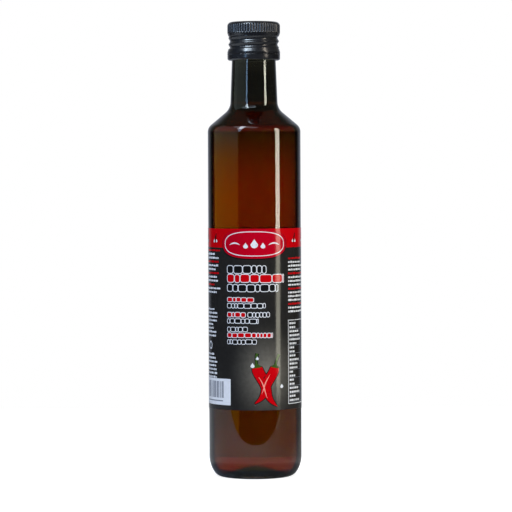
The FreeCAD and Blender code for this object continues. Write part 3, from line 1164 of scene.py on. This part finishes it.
class BOTTLE_OT_print(bpy.types.Operator):
    """Print the label: band, plaque, outlined blocks, dashes, stripes, table and chilies"""
    bl_idname = "bottle.make_print"
    bl_label = "Label print"

    def execute(self, context):
        label = settings("bottle_label")
        dice = random.Random(label.seed)
        inks = Inks(label.ink)
        band(inks, label)
        plaque(inks)
        for row in BLOCK_ROWS:
            block_row(inks, dice, *row)
        for column in DASH_COLUMNS:
            dash_column(inks, dice, *column)
        stripe_panel(inks, dice)
        ruled_table(inks, dice)
        inks["white"].oval((-36.0, 83.0), (2.6, 2.6), 1)
        inks["black"].oval((-36.0, 83.0), (1.8, 1.8), 2)
        pepper(inks, (14.5, 45.5), math.radians(-24), 29.0, -0.10)
        pepper(inks, (-0.5, 47.5), math.radians(26), 27.0, 0.10)
        for along, high, size in ((-1.6, 71.0, 1.3), (1.4, 75.5, 0.9), (17.4, 58.0, 1.1)):
            drop(inks, "white_last", (along, high), size, 6)
        colours = {
            "red": label.red, "red_top": label.red, "crimson": label.crimson,
            "crimson_top": label.crimson, "white": label.white, "white_top": label.white,
            "white_last": label.white, "black": label.black, "black_top": label.black,
            "grey": screen(120, 124, 138), "leaf": screen(58, 84, 34), "shine": screen(246, 150, 140),
        }
        for name, flat in inks.flats.items():
            lay("print_" + name, flat, ink_material("Ink " + name.replace("_", " "), colours[name]))
        return {"FINISHED"}


# ---- Stage ----------------------------------------------------------------------------------
# Lamps: name, place (azimuth, distance, height), height aimed at, size, brightness, tint, and what
# they leave out or light alone.
LAMPS = [
    ("Left edge", (-36, 1.1, 0.53), 0.53, (0.12, 0.54), 6.0, (0.36, 0.62, 1.0), None),
    ("Left window", (-38, 0.85, 0.95), 0.15, (0.2, 0.6), 14.0, (0.72, 0.86, 1.0), None),
    ("Left ceiling", (-30, 0.8, 1.2), 0.15, (1.3, 0.4), 1.8, (0.7, 0.84, 1.0), None),
    ("Right strip", (58.8, 1.0, 0.40), 0.40, (0.2, 0.85), 12.3, (1.0, 0.97, 0.79), "all but the cap"),
    ("Cap strip", (56, 1.0, 0.70), 0.28, (0.2, 0.85), 7.0, (1.0, 0.90, 0.76), "cap"),
    ("Cap window", (-32, 0.8, 1.0), 0.28, (0.6, 0.35), 13.0, (0.72, 0.86, 1.0), "cap"),
    ("Cap edge", (-62, 0.9, 0.34), 0.28, (0.16, 0.5), 8.0, (0.55, 0.76, 1.0), "cap"),
    ("Front fill", (8, 1.7, 0.9), 0.15, (0.9, 0.9), 1.5, (1.0, 1.0, 1.0), "no mirror"),
]


def panel_light(name, centre, target, size, radiance, tint):
    """Flat soft light of a given brightness, turned towards a point."""
    data = bpy.data.lights.new(name, "AREA")
    data.shape = "RECTANGLE"
    data.size, data.size_y = size
    data.energy = radiance * math.pi * size[0] * size[1]
    data.color = tint
    lamp = bpy.data.objects.new(name, data)
    lamp.location = centre
    lamp.rotation_mode = "QUATERNION"
    lamp.rotation_quaternion = (Vector(target) - Vector(centre)).to_track_quat("-Z", "Y")
    lamp.visible_camera = False
    lamp.visible_transmission = False
    bpy.context.scene.collection.objects.link(lamp)
    return lamp


def shine_on(lamp, piece, only=True):
    """Let a lamp shine on one piece alone, or on all but that piece."""
    receivers = bpy.data.collections.new(lamp.name + " shines on")
    receivers.objects.link(bpy.data.objects[piece])
    if not only:
        receivers.collection_objects[0].light_linking.link_state = "EXCLUDE"
    lamp.light_linking.receiver_collection = receivers


def around(azimuth, distance, height):
    """A place round the bottle; azimuth 0 is in front and grows to the right, in degrees."""
    turn = math.radians(azimuth)
    return Vector((distance * math.sin(turn), -distance * math.cos(turn), height))


def hide_from(piece, *rays):
    """Makes a piece of the stage unseen by some kinds of light ray."""
    for ray in rays:
        setattr(piece, "visible_" + ray, False)


def wall_panel():
    """Tall dim panel on the left that only the glass mirrors: grey above, warm below."""
    sheet = bmesh.new()
    x, near, far, low, high = -0.72, -0.86, 0.34, -0.4, 1.0
    corners = ((near, low), (far, low), (far, high), (near, high))
    sheet.faces.new([sheet.verts.new((x, y, z)) for y, z in corners])
    panel = as_object("Left wall", sheet)
    made, nodes, shader = material("Wall glow")
    nodes.give(shader, Base_Color=(0.0, 0.0, 0.0), Specular_IOR_Level=0.0, Emission_Strength=1.0)
    where = nodes.where()
    height = nodes.split(where)["Z"]
    tone = nodes.add("ShaderNodeValToRGB", Fac=nodes.ramp(height, 0.16, 0.24, kind="LINEAR"))
    stops = tone.color_ramp.elements
    stops[0].position, stops[0].color = 0.1, (1.0, 0.44, 0.02, 1)
    stops[1].position, stops[1].color = 0.95, (0.36, 0.43, 0.40, 1)
    middle = stops.new(0.55)
    middle.color = (0.72, 0.41, 0.09, 1)
    nodes.give(shader, Emission_Color=tone.outputs["Color"])
    panel.data.materials.append(made)
    hide_from(panel, "camera", "transmission", "diffuse")
    shine_on(panel, "glass_body")


def backlight_card(distance):
    """Pale card round the bottle, seen only through it: bright below, fading out above."""
    ring = bmesh.new()
    bmesh.ops.create_cone(ring, segments=96, radius1=distance, radius2=distance, depth=0.27)
    bmesh.ops.translate(ring, verts=ring.verts, vec=(0, 0, 0.135))
    card = as_object("Backlight card", ring)
    made, nodes, shader = material("Card glow")
    nodes.give(shader, Base_Color=(0.0, 0.0, 0.0), Specular_IOR_Level=0.0, Emission_Color=(1.0, 1.0, 1.0))
    where = nodes.where()
    spread = nodes.split(where)
    fade = nodes.ramp(spread["Z"], 0.172, 0.238, 0.97, 0.0)
    ends = nodes.ramp(spread["Y"], distance * 0.6, distance * 0.985, 0.35, 1.0)
    nodes.give(shader, Emission_Strength=nodes.times(fade, ends))
    card.data.materials.append(made)
    hide_from(card, "camera", "glossy", "diffuse", "shadow")


def make_world():
    """White to the camera, and dark where the bottle mirrors it or lets it through."""
    world = bpy.data.worlds.new("Studio")
    world.use_nodes = True
    bpy.context.scene.world = world
    nodes = Nodes(world.node_tree)
    ray = nodes.add("ShaderNodeLightPath").outputs
    sight = nodes.add("ShaderNodeTexCoord").outputs["Generated"]
    way = nodes.split(sight)
    room = nodes.mix(nodes.ramp(way["Z"], 0.03, 0.10), (0.010, 0.011, 0.013), (0.11, 0.11, 0.095))
    room = nodes.mix(nodes.ramp(way["Z"], 0.3, 0.8), room, (0.085, 0.08, 0.06))
    mirrored = nodes.mix(nodes.ramp(way["Y"], 0.64, 0.98), room, (0.38, 0.41, 0.48))
    shown = nodes.mix(ray["Is Glossy Ray"], (0.34, 0.345, 0.36), mirrored)
    shown = nodes.mix(ray["Is Transmission Ray"], shown, (0.006, 0.006, 0.006))
    shown = nodes.mix(ray["Is Camera Ray"], shown, (1.0, 1.0, 1.0))
    back = world.node_tree.nodes["Background"]
    nodes.feed(back.inputs["Color"], shown)
    back.inputs["Strength"].default_value = 1.0


def floor_material():
    """Pale table that stays white to the camera outside the bottle's shadow. It has a painted shadow, dark
    and bluish close round the bottle's foot, and painted shade that turns it dark grey towards the right.
    """
    made, nodes, shader = material("Pale table")
    where = nodes.where()
    grain = nodes.ramp(nodes.noise(where, 9.0, 3.0), 0.3, 0.7)
    spread = nodes.split(where)
    # Painted shade: the table turns dark grey towards the right.
    right = nodes.ramp(spread["X"], -0.02, 0.28)
    pale = nodes.mix(grain, (0.83, 0.84, 0.85), (0.87, 0.87, 0.88))
    # Painted shadow: dark and bluish close round the bottle's foot.
    near = nodes.ramp(nodes.size(where),
                      0.040, 0.062)
    pale = nodes.mix(near, (0.34, 0.37, 0.42), pale)
    behind = nodes.ramp(spread["Y"], 0.0, 0.12)
    pale = nodes.mix(behind, pale, (0.70, 0.71, 0.73))
    paths = nodes.add("ShaderNodeLightPath").outputs
    nodes.give(shader, Base_Color=nodes.mix(right, pale, (0.28, 0.28, 0.28)))
    nodes.give(shader, Roughness=0.7, Specular_IOR_Level=0.1, Emission_Color=(1.0, 1.0, 1.0))
    glow = nodes.math("MULTIPLY_ADD", behind, 0.07, 0.9)
    nodes.give(shader, Emission_Strength=nodes.times(paths["Is Camera Ray"], glow))
    return made


class BOTTLE_OT_stage(bpy.types.Operator):
    """Set up the table, the lights, the world and the camera"""
    bl_idname = "bottle.make_stage"
    bl_label = "Stage"

    def execute(self, context):
        scene = context.scene
        stage = settings("bottle_stage")
        table = bmesh.new()
        front, back = -stage.table_edge, stage.table_back
        corners = [(-2.5, front), (2.5, front), (2.5, back), (-2.5, back)]
        table.faces.new([table.verts.new((x, y, 0)) for x, y in corners])
        floor = as_object("table", table)
        floor.data.materials.append(floor_material())
        wall_panel()
        backlight_card(stage.card)
        for name, place, target, size, radiance, tint, lit in LAMPS:
            lamp = panel_light(name, around(*place), (0, 0, target), size, radiance, tint)
            if lit == "no mirror":
                lamp.visible_glossy = False
            elif lit:
                shine_on(lamp, "cap_shell", only=lit == "cap")
        make_world()
        scene.view_settings.view_transform = "Standard"
        data = bpy.data.cameras.new("Camera")
        data.lens = stage.lens
        data.sensor_width = 36.0
        data.clip_start, data.clip_end = 0.05, 20.0
        camera = bpy.data.objects.new("Camera", data)
        scene.collection.objects.link(camera)
        camera.location = (stage.aside, -stage.distance, stage.eye)
        sight = Vector((stage.aside, 0, stage.aim)) - camera.location
        camera.rotation_mode = "QUATERNION"
        lean = Matrix.Rotation(stage.roll, 3, "Z").to_quaternion()
        camera.rotation_quaternion = sight.to_track_quat("-Z", "Y") @ lean
        scene.camera = camera
        return {"FINISHED"}


class BOTTLE_PT_panel(bpy.types.Panel):
    """Buttons for each piece of the bottle"""
    bl_idname = "BOTTLE_PT_panel"
    bl_label = "Chili oil bottle"
    bl_space_type = "VIEW_3D"
    bl_region_type = "UI"
    bl_category = "Bottle"

    def draw(self, context):
        for operator in OPERATORS:
            self.layout.operator(operator.bl_idname)
        for name in GROUPS:
            box = self.layout.box()
            group = settings(name)
            for key in group.__annotations__:
                box.prop(group, key)


GROUPS = {
    "bottle_glass": BottleGlassSettings,
    "bottle_oil": BottleOilSettings,
    "bottle_cap": BottleCapSettings,
    "bottle_label": BottleLabelSettings,
    "bottle_stage": BottleStageSettings,
}
OPERATORS = [BOTTLE_OT_glass, BOTTLE_OT_oil, BOTTLE_OT_flakes, BOTTLE_OT_cap, BOTTLE_OT_label,
             BOTTLE_OT_print, BOTTLE_OT_stage]


def register():
    for name, group in GROUPS.items():
        bpy.utils.register_class(group)
        setattr(bpy.types.Scene, name, bpy.props.PointerProperty(type=group))
    for operator in OPERATORS + [BOTTLE_PT_panel]:
        bpy.utils.register_class(operator)


def unregister():
    for operator in [BOTTLE_PT_panel] + OPERATORS[::-1]:
        bpy.utils.unregister_class(operator)
    for name, group in GROUPS.items():
        delattr(bpy.types.Scene, name)
        bpy.utils.unregister_class(group)


def main():
    register()
    for operator in OPERATORS:
        group, name = operator.bl_idname.split(".")
        getattr(getattr(bpy.ops, group), name)()


if __name__ == "__main__":
    main()
